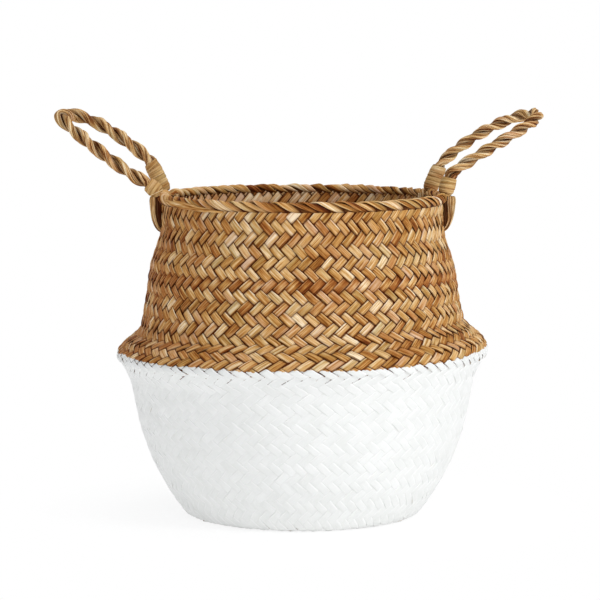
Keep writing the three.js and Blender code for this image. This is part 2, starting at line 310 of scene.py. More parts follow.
# Colours of the finishes by tone, from dark to pale
WALL_STOPS = [
    (0.05, tint(100, 46, 8)),
    (0.28, tint(164, 106, 46)),
    (0.5, tint(203, 153, 88)),
    (0.7, tint(223, 187, 134)),
    (0.95, tint(246, 225, 192)),
]
ROPE_STOPS = [
    (0.05, tint(96, 50, 20)),
    (0.28, tint(160, 108, 56)),
    (0.46, tint(204, 160, 102)),
    (0.7, tint(224, 190, 138)),
    (0.95, tint(244, 224, 188)),
]
STRIP_STOPS = [
    (0.05, tint(110, 66, 26)),
    (0.3, tint(164, 118, 64)),
    (0.5, tint(192, 152, 96)),
    (0.72, tint(210, 176, 122)),
    (0.95, tint(232, 206, 162)),
]
PAINT_STOPS = [
    (0.3, tint(223, 224, 221)),
    (0.5, tint(231, 232, 230)),
    (0.75, tint(241, 241, 240)),
]


def leaf_build(stops, contrast=1.0, painted_shade_colour=(60, 20, 0)):
    """Build function of a bare dry leaf."""
    def build(graph):
        colour, fibres = dry_leaf(graph, stops, contrast, painted_shade_colour)
        return colour, fibres * 0.3 + 0.5, fibres
    return build


def wall_build(graph):
    """Dry leaf under a coat of white paint where the mesh's paint share is high."""
    # The bare splints' painted shade is a dark red-brown.
    leaf, fibres = dry_leaf(graph, WALL_STOPS, 1.0, (82, 29, 0))
    place = graph.node("TexCoord", output="Object")
    mottle = graph.noise(place, 55.0, 4.0, 0.6)
    grit = graph.noise(place, 900.0, 3.0, 0.6)
    paint = graph.fact("paint")
    ragged = (paint - 0.5 + (grit - 0.5) * 0.35) * 6.0 + 0.5
    coat = graph.maths("MAXIMUM", graph.maths("MINIMUM", ragged, 1.0), 0.0)
    tone = graph.fact("tone")
    # The tone carries the painted highlights of the splints' upper edges, so the white shows
    # painted glints there; its random part makes the white uneven.
    level = (mottle - 0.5) * 0.4 + (fibres - 0.5) * 0.25 + (tone - 0.5) * 1.1 + 0.5
    white = graph.ramp(level, PAINT_STOPS)
    colour = graph.blend(coat, leaf, white)
    roughness = (1 - coat) * (fibres * 0.3 + 0.5) + coat * 0.36
    height = fibres * (1 - coat * 0.55) + grit * coat * 0.25
    return colour, roughness, height


natural = finish_material("natural_splint", wall_build)
painted = finish_material("painted_splint", wall_build, 0.5)
rim_leaf = finish_material("rim_splint", leaf_build(WALL_STOPS))
rope_leaf = finish_material("rope_fibre", leaf_build(ROPE_STOPS, 2.0, (58, 14, 0)))
strip_leaf = finish_material("wrapping_strip", leaf_build(STRIP_STOPS))


# Meshes

def at_points(values, places):
    """Numbers or vectors, spread over every one of the places."""
    return np.broadcast_to(values, places.shape[:-1] + np.shape(values)[places.ndim - 1:])


def ring_faces(tubes, rings, sides, closed):
    """Quads that join each ring of a tube to the next, and caps on both ends, or quads from
    the last ring to the first where the run is closed."""
    index = np.arange(tubes * rings * sides).reshape(tubes, rings, sides)
    near = index if closed else index[:, :-1]
    far = np.roll(index, -1, axis=1) if closed else index[:, 1:]
    quads = np.stack([near, np.roll(near, -1, axis=2), np.roll(far, -1, axis=2), far], axis=-1)
    caps = [] if closed else [index[:, 0, ::-1], index[:, -1]]
    return quads.reshape(-1, 4), np.concatenate([np.zeros((0, sides), int), *caps])


def enclosed(places, quads):
    """Six times the volume inside the quads, below zero where they face inwards."""
    corner = [places[quads[:, side]] for side in range(4)]
    first = np.einsum("ij,ij->", corner[0], np.cross(corner[1], corner[2]))
    return first + np.einsum("ij,ij->", corner[0], np.cross(corner[2], corner[3]))


def skin(name, points, facts, material, body, nodes, closed=False):
    """Mesh over tubes of rings, with its faces outwards. points holds a place in millimetres
    for each tube, ring and side, and facts holds values that can be spread over them."""
    quads, caps = ring_faces(*points.shape[:3], closed)
    places = points.reshape(-1, 3)
    if enclosed(places, quads) < 0:
        quads = quads[:, ::-1]
        caps = caps[:, ::-1]
    mesh = bpy.data.meshes.new(name)
    mesh.vertices.add(len(places))
    mesh.vertices.foreach_set("co", (places * MM).astype(np.float32).ravel())
    mesh.loops.add(quads.size + caps.size)
    corners = np.concatenate([quads.ravel(), caps.ravel()])
    mesh.loops.foreach_set("vertex_index", corners.astype(np.int32))
    cap_starts = quads.size + np.arange(len(caps)) * points.shape[2]
    starts = np.concatenate([np.arange(len(quads)) * 4, cap_starts])
    mesh.polygons.add(len(starts))
    mesh.polygons.foreach_set("loop_start", starts.astype(np.int32))
    mesh.polygons.foreach_set("use_smooth", np.ones(len(starts), bool))
    mesh.update(calc_edges=True)
    for fact, values in facts.items():
        values = at_points(values, points)
        kind, field = ("FLOAT_VECTOR", "vector") if values.ndim == 4 else ("FLOAT", "value")
        attribute = mesh.attributes.new(fact, kind, "POINT")
        attribute.data.foreach_set(field, values.astype(np.float32).ravel())
    mesh.materials.append(material)
    piece = bpy.data.objects.new(name, mesh)
    bpy.context.scene.collection.objects.link(piece)
    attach(piece, body)
    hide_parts(*nodes)


def stacked(*parts):
    """Vectors from their parts, which are first spread to one shape."""
    return np.stack(np.broadcast_arrays(*parts), axis=-1)


def around(turn, radius, height):
    """Places at an angle round the upright axis, a radius and a height."""
    return stacked(radius * np.cos(turn), radius * np.sin(turn), height)


def turned(places, angle):
    """Places turned about the upright axis."""
    x, y, z = np.moveaxis(places, -1, 0)
    cosine, sine = math.cos(angle), math.sin(angle)
    return stacked(x * cosine - y * sine, x * sine + y * cosine, z)


def full_turn(steps):
    """Even angles once round."""
    return np.linspace(0, 2 * np.pi, steps, endpoint=False)


def unit(vectors):
    """Vectors of length one."""
    return vectors / np.linalg.norm(vectors, axis=-1, keepdims=True)


def even_line(line, count):
    """The distance along a line at even steps, as a column, and the points there."""
    length = np.concatenate([[0], np.cumsum(np.linalg.norm(np.diff(line, axis=0), axis=1))])
    run = np.linspace(0, length[-1], count)
    return run[:, None], np.stack([np.interp(run, length, part) for part in line.T], axis=1)


def wander(random, run, waves, reach, count=1):
    """Smooth random curves, each a column: the mean of sines along a run, whose phases are
    random, times the reach."""
    phases = random.uniform(0, 2 * np.pi, (len(waves), count, 1, 1))
    total = sum(np.sin(wave * run * 2 * np.pi + phase) for wave, phase in zip(waves, phases))
    return reach * total / len(waves)


# Cross-section of a splint: places across from -1/2 to 1/2 and heights from -1 to 1, up
# over its face and back under it
SECTION_ACROSS = np.array([-0.5, -0.475, -0.42, -0.3, 0.0, 0.3, 0.42, 0.475, 0.5, 0.44, -0.44])
SECTION_HEIGHT = np.array([0.0, 0.5, 0.78, 0.93, 1.0, 0.93, 0.78, 0.5, 0.0, -0.9, -0.9])


# Outline of the wall

def fade_out(distance, run):
    """Half a cosine wave from 1 down to 0 over the run."""
    return (1 + np.cos(np.pi * np.clip(distance / run, 0, 1))) / 2


def bell(height, swell):
    """Rise of a swell at a height: a Gaussian curve of the swell's rise, middle height and
    reach."""
    rise, middle, reach = swell
    return rise * np.exp(-((height - middle) / reach) ** 2)


def bowl_outline(height):
    """Base radius plus a full curve up to the bowl's radius and an exponential lip."""
    swell = 1 - (1 - height / FOLD_HEIGHT) ** BOWL_FULLNESS
    flare = np.exp((height - FOLD_HEIGHT) / LIP_RUN)
    return BASE_RADIUS + (BOWL_RADIUS - BASE_RADIUS) * swell + (FOLD_RADIUS - BOWL_RADIUS) * flare


def neck_outline(height):
    """Mouth radius plus a full shoulder and a slow neck, each half a cosine wave, and the
    swells."""
    neck = fade_out(height - FOLD_HEIGHT - SHOULDER_FOOT, NECK_RUN)
    share = np.clip((height - FOLD_HEIGHT) / SHOULDER_RUN, 0, 1)
    shoulder = fade_out(share ** SHOULDER_FULLNESS, 1)
    swell = sum(bell(height, part) for part in NECK_SWELLS)
    return (MOUTH_RADIUS + (SHOULDER_RADIUS - MOUTH_RADIUS) * neck
            + (FOLD_RADIUS - SHOULDER_RADIUS) * shoulder + swell)


class Meridian:
    """Line of the wall's middle from under the mat's edge up to the rim, rounded by a
    Gaussian, with its outward normal, and the weave's row number at each place on it. The
    rows rise by as much as keeps splints of one width side by side."""

    def __init__(self, step=0.5, rounding=2.8, mat_lap=11, top_height=265.3, top_row=0.25):
        under = np.linspace(BASE_RADIUS - mat_lap, BASE_RADIUS, 40)[:-1]
        bowl = np.linspace(0, FOLD_HEIGHT, 500)
        neck = np.linspace(FOLD_HEIGHT, RIM_HEIGHT, 500)[1:]
        level = np.concatenate([bowl, neck])
        wall = np.concatenate([bowl_outline(bowl), neck_outline(neck)])
        wall += bell(level, FOLD_SWELL) + bell(level, LIP_SWELL)
        radius = np.concatenate([under, wall])
        height = np.concatenate([0 * under, level])
        length = np.concatenate([[0], np.cumsum(np.hypot(np.diff(radius), np.diff(height)))])
        run = np.arange(0, length[-1], step)
        line = np.stack([np.interp(run, length, radius), np.interp(run, length, height)])
        reach = int(4 * rounding / step)
        kernel = np.exp(-0.5 * (np.arange(-reach, reach + 1) * step / rounding) ** 2)
        padded = np.pad(line, ((0, 0), (reach, reach)), "reflect", reflect_type="odd")
        line = np.stack([np.convolve(row, kernel / kernel.sum(), "valid") for row in padded])
        along = np.gradient(line, axis=1)
        along /= np.hypot(*along)
        self.normal = np.stack([along[1], -along[0]])
        self.middle = line - WALL_THICKNESS / 2 * self.normal
        pitch = 2 * np.pi * line[0] / SPLINTS
        sine = np.minimum(SPLINT_WIDTH / pitch, 0.9)
        rate = np.sqrt(1 - sine ** 2) / SPLINT_WIDTH
        rows = np.concatenate([[0], np.cumsum((rate[1:] + rate[:-1]) / 2 * step)])
        above = line[1] > WALL_FOOT
        self.rows = rows - np.interp(top_height, line[1][above], rows[above]) + top_row

    def at_row(self, row):
        """Radius, height and the normal's two parts at rows of the weave."""
        parts = (*self.middle, *self.normal)
        return [np.interp(row, self.rows, part) for part in parts]

    def row_at(self, height):
        """Row number at a height on the wall."""
        above = self.middle[1] > WALL_FOOT
        return np.interp(height, self.middle[1][above], self.rows[above])


meridian = Meridian()


def tilted(turn, height):
    """Height on the uneven wall: the fold's tilt goes with the cosine of the angle, and the
    left shoulder's sag with the square of that cosine on the left."""
    left = np.clip(-np.cos(turn), 0, 1)
    return height + np.cos(turn) * bell(height, FOLD_TILT) - left ** 2 * bell(height, SHOULDER_SAG)


def paint_edge(turn):
    """Height of the ragged edge of the paint at an angle round the basket: three waves, on a
    rise at both sides that goes as the cube of the cosine."""
    sides = PAINT_SIDE_RISE * np.abs(np.cos(turn)) ** 3 - 0.4 * np.cos(turn)
    return (PAINT_HEIGHT + sides + 0.6 * np.sin(3 * turn + 1) + 0.4 * np.sin(11 * turn)
            + 0.3 * np.sin(29 * turn + 2))


# Places along two crossings of the weave where a splint's rings stand
BEATS = np.array([0.0, 0.07, 0.16, 0.36, 1.0, 1.64, 1.84, 1.93])


def splint_run(start, end):
    """Crossing numbers from start to end, close together where a splint dives."""
    beats = (BEATS[None, :] + np.arange(-40, 40)[:, None] * 2).ravel() - 0.5
    return np.concatenate([[start], beats[(beats > start + 0.1) & (beats < end - 0.1)], [end]])


class Splints:
    """All splints of one lean over a band of the wall: their crossings, the wave on which
    they go over and under the others, and random values for each float. All are columns, to
    be spread over the splints' section."""

    def __init__(self, lean, start, end, seed):
        self.lean = lean
        self.seed = seed
        self.random = np.random.default_rng(seed)
        self.run = splint_run(start, end)[:, None]
        self.wave = lean * np.sin(np.pi * (self.run + 0.5) / 2)
        number = np.floor((self.run + 0.5) / 2).astype(int)
        self.float_middle = number * 2 + 0.5
        self.float_number = number - number.min()
        self.floats = self.float_number.max() + 1

    def spread(self, width):
        """A normal random value for each float."""
        return self.random.normal(0, width, (SPLINTS, self.floats))[:, self.float_number]

    def chance(self):
        """A random value from 0 to 1 for each float."""
        return self.random.uniform(0, 1, (SPLINTS, self.floats))[:, self.float_number]

    def wander(self, waves, reach):
        """A smooth random curve for each splint."""
        return wander(self.random, self.run, waves, reach, SPLINTS)


def weave(name, splints, band):
    """Every splint of one lean over a band of the wall, in two pieces of 42 splints.
    On the unrolled lattice a splint's place is (turn, row) = ((across + lean * run) / 2,
    (run - lean * across) / 2), with the run counted in crossings. Its distance from the
    wall's middle is a squared-off sine wave of the run with a period of four crossings,
    two over and two under, plus a slight bow, lift and tilt of each float. The lower edge
    of a float stands proud."""
    lean, run, wave = splints.lean, splints.run, splints.wave
    reach = band["rough"] * np.abs(wave) ** 0.5
    lift = splints.spread(0.16) * reach
    tilt = (0.3 * lean + splints.spread(0.75)) * reach
    twist = splints.spread(0.35) * (run - splints.float_middle) * reach
    narrowing = 0.14 * splints.random.uniform(0, 1, (SPLINTS, 1, 1))
    wide = 1 - narrowing + splints.wander((0.11, 0.23, 0.41), 0.07) + splints.spread(0.05)
    side = splints.wander((0.06, 0.17, 0.31), 0.095)
    across = side + band["breadth"] * wide * SECTION_ACROSS
    along = np.broadcast_to(run, across.shape)
    number = np.arange(SPLINTS)[:, None, None]
    turn = (number + (across + lean * along) / 2) * 2 * np.pi / SPLINTS
    radius, height, normal_out, normal_up = meridian.at_row((along - lean * across) / 2)
    rise = np.tanh(3.6 * wave) / np.tanh(3.6)
    bed = band["relief"] * rise + band["bow"] * wave + lift
    off = bed + (tilt + twist) * (across - side) + band["half_thickness"] * SECTION_HEIGHT
    height = height + normal_up * off
    points = around(turn, radius + normal_out * off, tilted(turn, height))
    middle_height = meridian.at_row((splints.float_middle - lean * side) / 2)[1]
    facts = float_looks(splints, turn, height, middle_height)
    facts["grain"] = stacked(
        across * SPLINT_WIDTH, along * SPLINT_WIDTH, number * 3.7 + splints.seed,
    )
    half = SPLINTS // 2
    for part, chosen in (("first", slice(0, half)), ("second", slice(half, SPLINTS))):
        chosen_facts = {key: at_points(values, points)[chosen] for key, values in facts.items()}
        skin(f"{name}_{part}", points[chosen], chosen_facts, band["material"], "basket",
             [band["node"]])


def float_looks(splints, turn, height, middle_height):
    """Looks of the floats: each has its own tone and hue, redder in the red band, and darker
    and browner on the left as painted shade of that side. Each has painted shade on its
    lower edge, at its edges and where it dives, and a painted highlight on its upper edge.
    The paint ends at its ragged edge, with bare specks under that, most of them on the left.
    The insides of the splints are painted lighter and warmer, as painted light, and plain."""
    wave = splints.wave
    upper = -splints.lean * SECTION_ACROSS
    outward = SECTION_HEIGHT > -0.1
    own_tone = splints.random.normal(0, 0.065, (SPLINTS, 1, 1))
    own_tone = own_tone + splints.wander((0.02, 0.05), 0.05) + splints.spread(0.085)
    own_tone = np.clip(own_tone, -0.5, 0.46)
    # Painted highlight on each float's upper edge, where light catches it.
    painted_edge_highlight = 0.2 * np.clip((upper - 0.3) / 0.12, 0, 1) + 0.05 * wave * upper
    redder = bell(middle_height, RED_BAND)
    # Painted shade: the left side, away from the light, is made darker in tone and browner in hue.
    painted_left_shade = np.clip((-np.cos(turn) - 0.5) / 0.4, 0, 1)
    ends = np.clip(1.3 - np.abs(wave), 0, 1)
    # Hue: at random, redder in the red band, browner on the shaded left as painted shade, and
    # warmer on the insides as part of their painted light.
    hue = splints.chance() + (0.1 + 0.9 * ends) * redder + 0.5 * painted_left_shade + 0.3 * ~outward
    # Painted shade at the splint's edges, where it dives under its neighbours and along its lower
    # edge, less where it is painted.
    edge = np.clip((np.abs(SECTION_ACROSS) - 0.45) / 0.05, 0, 1)
    dive = np.clip(1 - 3.4 * np.abs(wave), 0, 1)
    shade = np.clip((-0.36 - upper) / 0.1, 0, 1) * outward
    tuck = np.clip(dive + 0.12 * edge + 0.6 * shade, 0, 1)
    mixed = 0.2 * middle_height + 0.8 * height + splints.spread(0.35)
    paint = np.clip((paint_edge(turn) - mixed) / 1.1 + 0.5, 0, 1) * outward
    bare = splints.chance() < 0.5 - 0.45 * np.cos(turn)
    speckled = bare * (np.abs(paint_edge(turn) - height - 6) < 3)
    paint = paint * (1 - speckled * (dive > 0.45) * (np.abs(SECTION_ACROSS) > 0.35))
    tone = 0.52 + (own_tone - 0.07 * painted_left_shade) * (1 - 0.8 * paint) + painted_edge_highlight * outward
    # The red band darkens the float ends; the insides of the splints are painted lighter, as
    # painted light.
    tone = tone - 0.16 * ends * redder + 0.12 * ~outward
    tuck = tuck * (1 - 0.85 * paint)
    return {"tone": tone, "hue": np.clip(hue, 0, 1.8), "tuck": tuck, "paint": paint}


def sheet(name, sides, height, outwards, ripple, looks, material, nodes):
    """Sheet carried once round the basket, a little outwards of the wall's middle, with
    ripples where that is more than 0.1."""
    angle = full_turn(sides)[:, None]
    radius, level, normal_out, normal_up = meridian.at_row(meridian.row_at(height))
    waves = ripple * np.sin(42 * angle + 0.4 * level) * np.sin(42 * angle - 0.4 * level)
    off = outwards + waves * (outwards > 0.1)
    points = around(angle, radius + normal_out * off, tilted(angle, level + normal_up * off))[None]
    facts = {"grain": points * 0.3, "hue": 0.5, **looks}
    skin(name, points, facts, material, "basket", nodes, True)


def gap_shade_sheet():
    """Dark sheet of painted shade inside the weave, seen in the gaps between splints."""
    height = np.concatenate([np.linspace(8, 271, 90), np.linspace(271, 8, 90)])
    outwards = np.repeat([0.06, -0.06], 90)
    looks = {"tone": 0.2, "tuck": 0.85, "paint": 0}
    sheet("weave_lining", 168, height, outwards, 0, looks, natural,
          ["upper_wall", "lower_wall"])


gap_shade_sheet()


def nearest(value, remainder):
    """Number nearest to a value that leaves a remainder when divided by four."""
    return round((value - remainder) / 4) * 4 + remainder


# How the floats lie in each half of the wall: height of their squared-off wave, bow, half
# thickness, breadth in splint widths, and how much they vary
UPPER_BAND = {
    "relief": 0.74, "bow": 0.45, "half_thickness": 0.6, "breadth": 1.0, "rough": 1.0,
    "material": natural, "slot": "natural_splints", "node": "upper_wall",
}
LOWER_BAND = {
    "relief": 0.31, "bow": 0.12, "half_thickness": 0.55, "breadth": 1.1, "rough": 0.5,
    "material": painted, "slot": "painted_splints", "node": "lower_wall",
}


def weave_walls():
    """Both bands, whose splints are cut at the fold where each dives."""
    foot, fold, top = (2 * float(row) for row in (
        meridian.rows[0], meridian.row_at(FOLD_HEIGHT), meridian.row_at(WEAVE_TOP),
    ))
    leans = (("right", 1, nearest(fold, 2.5)), ("left", -1, nearest(fold, 0.5)))
    for number, (side, lean, cut) in enumerate(leans):
        weave(f"upper_splints_{side}", Splints(lean, cut, top, 11 + number), UPPER_BAND)
    for number, (side, lean, cut) in enumerate(leans):
        weave(f"lower_splints_{side}", Splints(lean, foot, cut, 13 + number), LOWER_BAND)


weave_walls()


def paint_film():
    """Paint that fills the crevices of the bowl, a little under the faces of the splints,
    and thins out below the fold."""
    height = np.concatenate([np.linspace(4, 128, 64), [131, 131, 128], np.linspace(120, 4, 12)])
    outwards = np.concatenate([np.full(60, 0.52), [0.5, 0.42, 0.3, 0.2], np.full(15, 0.1)])
    looks = {"tone": 0.5, "tuck": 0, "paint": 1}
    sheet("paint_film", 336, height, outwards, 0.05, looks, painted,
          ["lower_wall"])


paint_film()


def mat(name, lean, seed):
    """Splints of one direction in the round mat of the base. Each is a straight strip cut
    to the chord of the mat's circle, on the same squared-off wave as the wall's."""
    random = np.random.default_rng(seed)
    edge = BASE_RADIUS - MAT_INSET
    count = int(edge / SPLINT_WIDTH)
    number = np.arange(-count, count + 1)[:, None, None]
    chord = np.sqrt(edge ** 2 - (number * SPLINT_WIDTH) ** 2)
    along = chord * np.linspace(-1, 1, 97)[None, :, None] / SPLINT_WIDTH
    across = 0.97 * SECTION_ACROSS
    wave = lean * np.sin(np.pi * (lean * (along - number) + 0.5) / 2)
    off = 0.5 * np.tanh(3 * wave) + 0.1 * wave + 0.55 * SECTION_HEIGHT
    first = along * SPLINT_WIDTH
    second = (number + across) * SPLINT_WIDTH
    flat = (first, second) if lean > 0 else (second, first)
    points = turned(stacked(*flat, WALL_THICKNESS / 2 - off), math.radians(45))
    facts = {
        "grain": stacked(across * SPLINT_WIDTH, first, number * 3.7 + seed),
        "tone": 0.5 + random.normal(0, 0.12, number.shape),
        "hue": random.uniform(0, 1, number.shape),
        # Painted shade where each splint dives under the others.
        "tuck": np.clip(0.85 - 1.9 * np.abs(wave), 0, 1),
        "paint": SECTION_HEIGHT > -0.1,
    }
    skin(name, points, facts, painted, "basket", ["lower_wall"])


mat("mat_splints_first", 1, 21)
mat("mat_splints_second", -1, 22)


# Rim

def smooth_line(corners, count, passes=3):
    """Line through corner points, rounded by cutting its corners, at even steps."""
    for _ in range(passes):
        near = corners[:-1] * 0.75 + corners[1:] * 0.25
        far = corners[:-1] * 0.25 + corners[1:] * 0.75
        inner = np.stack([near, far], axis=1).reshape(-1, corners.shape[1])
        corners = np.concatenate([corners[:1], inner, corners[-1:]])
    return even_line(corners, count)


def foot_angle(sizes, end):
    """Direction of a foot from the basket's axis."""
    bearing = sizes[end]["bearing"]
    return math.radians(bearing if sizes["side"] > 0 else 180 - bearing)


def pressed(turn, height):
    """Height on the rim, kept under the round feet of the handles."""
    for sizes in HANDLES.values():
        for end in ("front", "back"):
            away = (turn - foot_angle(sizes, end) + np.pi) % (2 * np.pi) - np.pi
            beside = np.abs(away) * MOUTH_RADIUS
            ball = FOOT_HEIGHT - np.sqrt(np.maximum(SADDLE_RADIUS ** 2 - beside ** 2, 0))
            height = np.where(beside < SADDLE_RADIUS, np.minimum(height, ball), height)
    return height


def on_rim(turn, radius, height):
    """Places on the rim, which rises to the back."""
    return around(turn, radius, height + RIM_TILT * np.sin(turn))


def rim_skin(name, points, facts, closed=False):
    """Piece of the border."""
    skin(name, points, facts, rim_leaf, "basket", ["rim_border"], closed)


def rim_lobes():
    """Splint ends folded over the rim. Each lobe follows the border's section while it
    moves round the rim, so that it leans down to the right outside; its left edge stands
    proud and laps the right edge of the one before. Each carries painted shade towards its
    lapped edge and at its ends, and those at the back are painted lighter, as painted light."""
    random = np.random.default_rng(31)
    run, line = smooth_line(RIM_LINE, 31)
    way = unit(np.gradient(line, axis=0))
    pitch = 2 * np.pi / LOBES
    place = np.cumsum(random.uniform(0.7, 1.35, LOBES))
    place = place / place[-1] * LOBES
    each = (LOBES, 1, 1)
    slant = random.normal(1.9, 0.25, each)
    wide = random.uniform(1.0, 1.3, each)
    swell = np.sin(np.pi * run / run[-1])
    across = wide * (0.35 + 0.72 * swell ** 0.6) * SECTION_ACROSS
    advance = slant * (run - run[-1] / 2) / MOUTH_RADIUS
    turn = place[:, None, None] * pitch + advance + across * pitch
    lift = random.normal(0.1, 0.4, each)
    tilt = random.normal(1.4, 0.6, each)
    off = (lift - tilt * across) * swell + 0.7 * SECTION_HEIGHT
    middle_radius, middle_height = line.T[:, :, None]
    way_out, way_up = way.T[:, :, None]
    radius = middle_radius - way_up * off
    height = pressed(turn, middle_height) + way_out * off
    # Tone at random, darker towards the lapped right edge as painted shade.
    tone = np.clip(0.4 + random.normal(0, 0.15, each), 0, 1) - 0.35 * SECTION_ACROSS
    hue = random.uniform(0, 1, each)
    # Painted shade where the next lobe laps over, and at the ends where the lobe dives.
    lapped_shade = np.clip((SECTION_ACROSS - 0.22) / 0.18, 0, 0.92)
    ends = np.clip(1 - np.minimum(run, run[-1] - run) / 3.5, 0, 1)
    facts = {
        "grain": stacked(across * pitch * MOUTH_RADIUS * 0.7, run * 1.5,
                         np.arange(LOBES)[:, None, None] * 5.3),
        # Lobes at the back are painted lighter: painted light.
        "tone": tone + 0.12 * np.clip(np.sin(turn), 0, 1),
        "hue": hue,
        "tuck": np.clip(lapped_shade + 0.8 * ends, 0, 1),
    }
    rim_skin("rim_lobes", on_rim(turn, radius, height), facts)


def rim_core():
    """Padding under the lobes, dark with painted shade: an upright oval carried once round the
    rim.
    """
    turn = full_turn(240)[:, None]
    side = full_turn(16)
    radius = CORE_MIDDLE[0] + CORE_REACH[0] * np.cos(side)
    height = pressed(turn, CORE_MIDDLE[1] + CORE_REACH[1] * np.sin(side))
    facts = {
        "grain": stacked(side * 3, turn * MOUTH_RADIUS, 0)[None],
        # Painted shade: a dark tone and a high painted-shade share.
        "tone": 0.25, "hue": 0.5, "tuck": 0.85,
    }
    rim_skin("rim_core", on_rim(turn, radius, height)[None], facts, True)


def rim_stalks():
    """Stalks from the left handle's front foot, laid along the outside of the rim, which
    leans in upwards. Each runs round the basket and slowly down, and dives in at both
    ends."""
    random = np.random.default_rng(37)
    start, end, height = RIM_STALKS.T[:, :, None, None]
    share = np.linspace(0, 1, 60)[:, None]
    turn = np.radians(start + (end - start) * share)
    taper = np.sin(np.pi * np.clip(share, 0.08, 0.92)) ** 0.4
    wide = RIM_STALK_BREADTH * taper * random.uniform(0.9, 1.1, start.shape)
    dive = np.clip(1 - np.minimum(share, 1 - share) / 0.1, 0, 1)
    drift = wander(random, share, (1.1, 2.3), 0.5, len(start))
    height = height - RIM_STALK_FALL * share + drift + wide * SECTION_ACROSS
    border = 124.7 - 0.12 * (height - 272)
    radius = border + 0.45 * SECTION_HEIGHT - RIM_STALK_DIVE * dive
    facts = {
        "grain": stacked(wide * SECTION_ACROSS, turn * MOUTH_RADIUS,
                         np.arange(len(start))[:, None, None] * 4.1),
        "tone": 0.46, "hue": 0.55,
        # Painted shade along the stalks' edges.
        "tuck": 0.6 * np.clip((np.abs(SECTION_ACROSS) - 0.4) / 0.1, 0, 1),
    }
    rim_skin("rim_stalks", around(turn, radius, height), facts)


rim_lobes()
rim_core()
rim_stalks()


# Handles

def leaning(lean):
    """Unit vector in the plane x-z, tipped out from upright."""
    return np.array([math.sin(math.radians(lean)), 0, math.cos(math.radians(lean))])


def foot_place(sizes, end):
    """Centre of a foot on the rim."""
    angle = foot_angle(sizes, end)
    radius = sizes["foot_radius"]
    return np.array([radius * math.cos(angle), radius * math.sin(angle), FOOT_HEIGHT])


class Handle:
    """Frame of a handle: origin midway between its feet, x outwards, y along the line
    through the feet, z up."""

    def __init__(self, name):
        self.name = name
        self.sizes = HANDLES[name]
        self.side = self.sizes["side"]
        front, back = (foot_place(self.sizes, end) for end in ("front", "back"))
        chord = back - front
        self.centre = (front + back) / 2
        self.half_span = np.linalg.norm(chord) / 2
        angle = math.atan2(-self.side * chord[0], self.side * chord[1])
        cosine, sine = math.cos(angle), math.sin(angle)
        self.axes = np.array([(cosine, sine, 0), (-sine, cosine, 0), (0, 0, 1)])

    def foot(self, end):
        """A foot in the handle's frame."""
        return np.array([0, (1 if end == "back" else -1) * self.side * self.half_span, 0])

    def world(self, points):
        """Places in the basket's frame."""
        return points @ self.axes + self.centre

    def from_sleeve(self, end, places):
        """Places in the basket's frame from those in the frame of a sleeve, upright on its
        foot."""
        sine, _, cosine = leaning(self.sizes[end]["sleeve_lean"])
        tip = np.array([(cosine, 0, -sine), (0, 1, 0), (sine, 0, cosine)])
        return self.world(places @ tip + self.foot(end))

    def route(self):
        """The rope's centre line: straight through each sleeve, and two cubic curves that
        meet at the tip of the loop."""
        sizes = self.sizes
        slope = math.radians(sizes["tip_slope"])
        tip = np.array([sizes["tip_reach"], self.side * sizes["tip_shift"], sizes["tip_rise"]])
        tip_way = np.array([0, self.side * math.cos(slope), math.sin(slope)])
        legs = []
        for end, way in (("front", -1), ("back", 1)):
            leg = sizes[end]
            lean = leaning(leg["sleeve_lean"])
            foot = self.foot(end)
            start = foot - lean * math.sqrt(SLEEVE_RADIUS ** 2 - SLEEVE_BORE ** 2)
            top = foot + lean * (leg["sleeve"] + STRAIGHT_RUN)
            pull = top + leaning(leg["rope_lean"]) * leg["rope_pull"]
            share = np.linspace(0, 1, 400)[:, None]
            rest = 1 - share
            curve = (rest ** 3 * top + 3 * rest ** 2 * share * pull
                     + 3 * rest * share ** 2 * (tip + tip_way * way * leg["tip_pull"])
                     + share ** 3 * tip)
            legs.append(np.concatenate([start + (top - start) * share[:-1], curve]))
        return np.concatenate([legs[0], legs[1][::-1][1:]])


